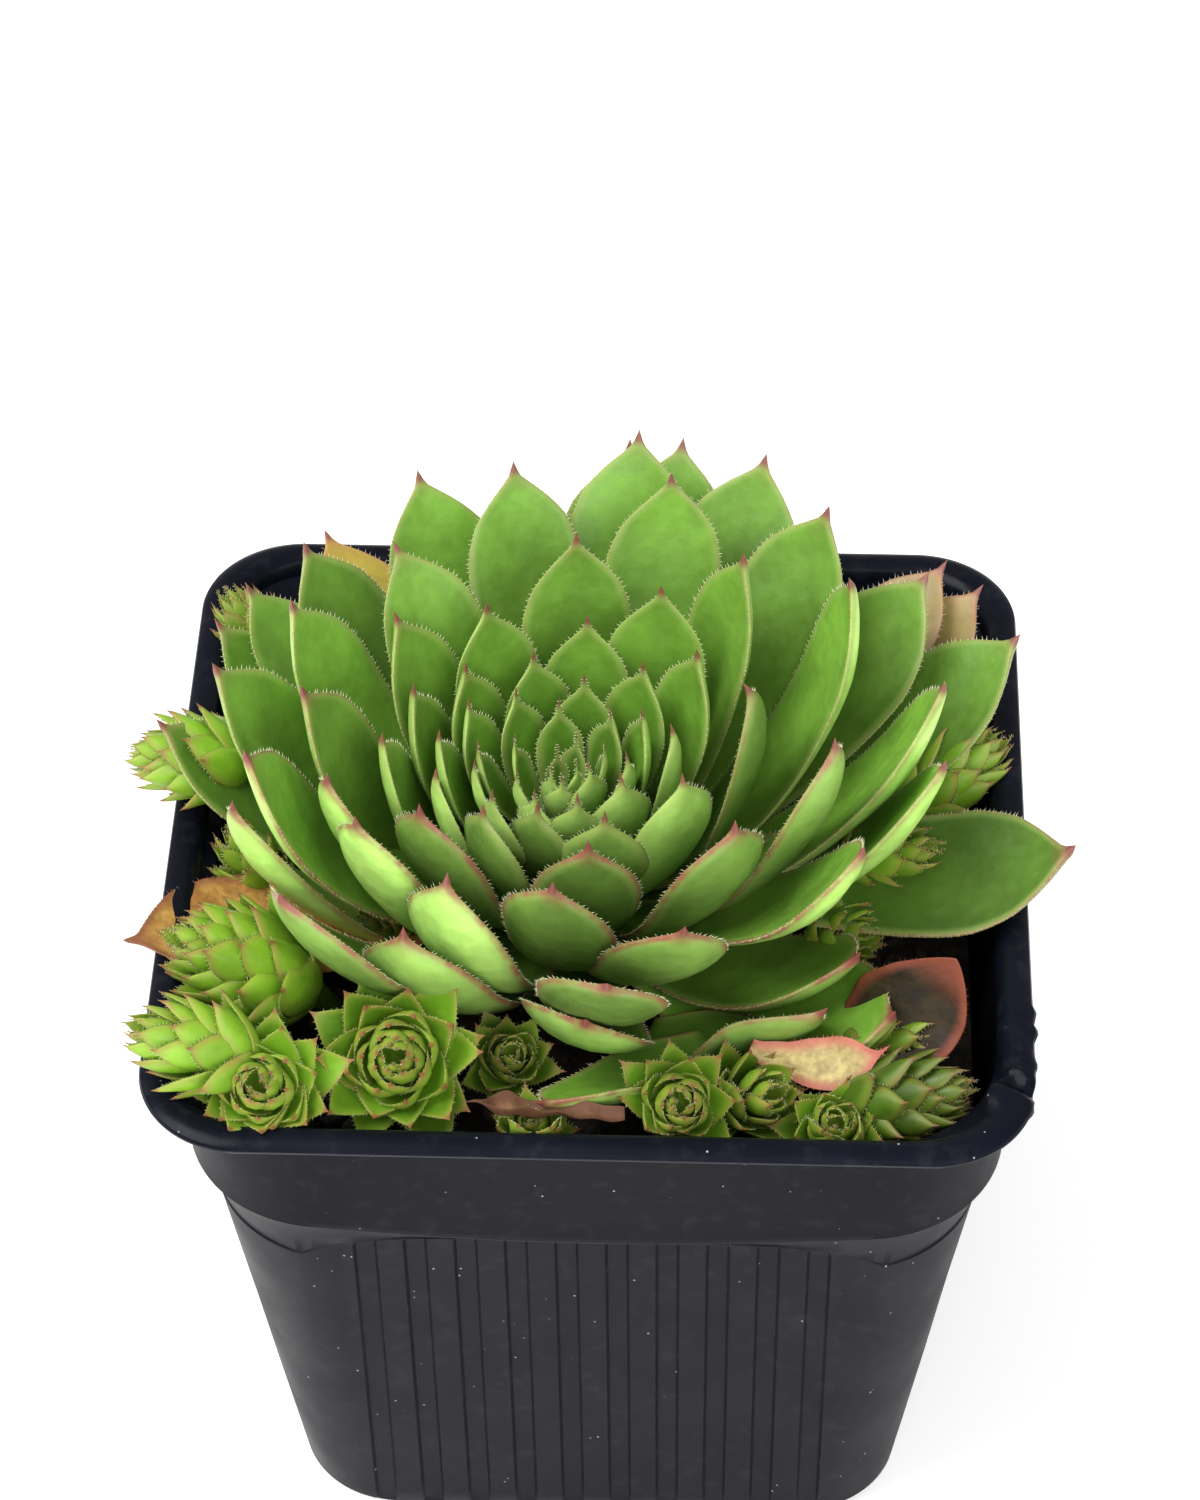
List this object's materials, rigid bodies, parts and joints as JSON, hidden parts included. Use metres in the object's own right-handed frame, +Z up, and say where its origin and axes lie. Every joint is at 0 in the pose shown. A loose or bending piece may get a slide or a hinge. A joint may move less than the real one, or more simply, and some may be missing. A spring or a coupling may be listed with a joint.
{
  "type": "hens and chicks succulent in a square nursery pot",
  "caption": "Potted hens and chicks: a fleshy mother rosette of pointed leaves ringed by small offset rosettes, rooted in soil in a square black plastic nursery pot.",
  "frame": {"origin": "centre of the pot's flat underside", "axes": "+Z up out of the pot, +X towards the plant's right, +Y towards the back, so the pot's sides lie along X and Y"},
  "size_m": [0.0998, 0.09, 0.0999],
  "materials": {
    "pot": "satin",
    "soil": "matte",
    "leaf": "satin",
    "chick": "satin",
    "withered": "matte"
  },
  "bodies": {
    "root": {"pot": "pot", "soil": "soil", "hen_heart": "leaf", "hen_leaf_51": "leaf", "hen_leaf_52": "leaf", "hen_leaf_53": "leaf", "hen_leaf_54": "leaf", "hen_leaf_55": "leaf", "hen_leaf_56": "leaf", "hen_leaf_57": "leaf", "hen_leaf_58": "leaf", "hen_leaf_59": "leaf", "hen_leaf_60": "leaf", "hen_leaf_61": "leaf", "hen_leaf_62": "leaf", "hen_leaf_63": "leaf", "hen_leaf_64": "leaf", "hen_leaf_65": "leaf", "hen_leaf_66": "leaf", "hen_leaf_67": "leaf", "hen_leaf_68": "leaf", "hen_leaf_69": "leaf", "hen_leaf_70": "leaf", "hen_leaf_71": "leaf", "hen_leaf_72": "leaf", "hen_leaf_73": "leaf", "hen_leaf_74": "leaf", "hen_leaf_75": "leaf", "hen_leaf_76": "leaf", "hen_leaf_77": "leaf", "hen_leaf_78": "leaf", "hen_leaf_79": "leaf", "hen_leaf_80": "leaf", "hen_leaf_81": "leaf", "hen_leaf_82": "leaf", "hen_leaf_83": "leaf", "hen_leaf_84": "leaf", "hen_leaf_85": "leaf", "chick_left_rim": "chick", "chick_back_left": "chick", "chick_left_small": "chick", "chick_left_large": "chick", "chick_left_corner": "chick", "chick_front_left": "chick", "chick_front_open": "chick", "chick_front_shaded": "chick", "chick_front_low": "chick", "chick_front_middle": "chick", "chick_front_bud": "chick", "chick_front_right": "chick", "chick_right_corner": "chick", "chick_right_low": "chick", "chick_right_inner": "chick", "chick_right_outer": "chick", "chick_right_hidden": "chick", "chick_left_hidden": "chick", "withered_leaf_left": "withered", "withered_leaf_front": "withered", "withered_leaf_right": "withered", "withered_leaf_corner": "withered"}
  },
  "joints": []
}
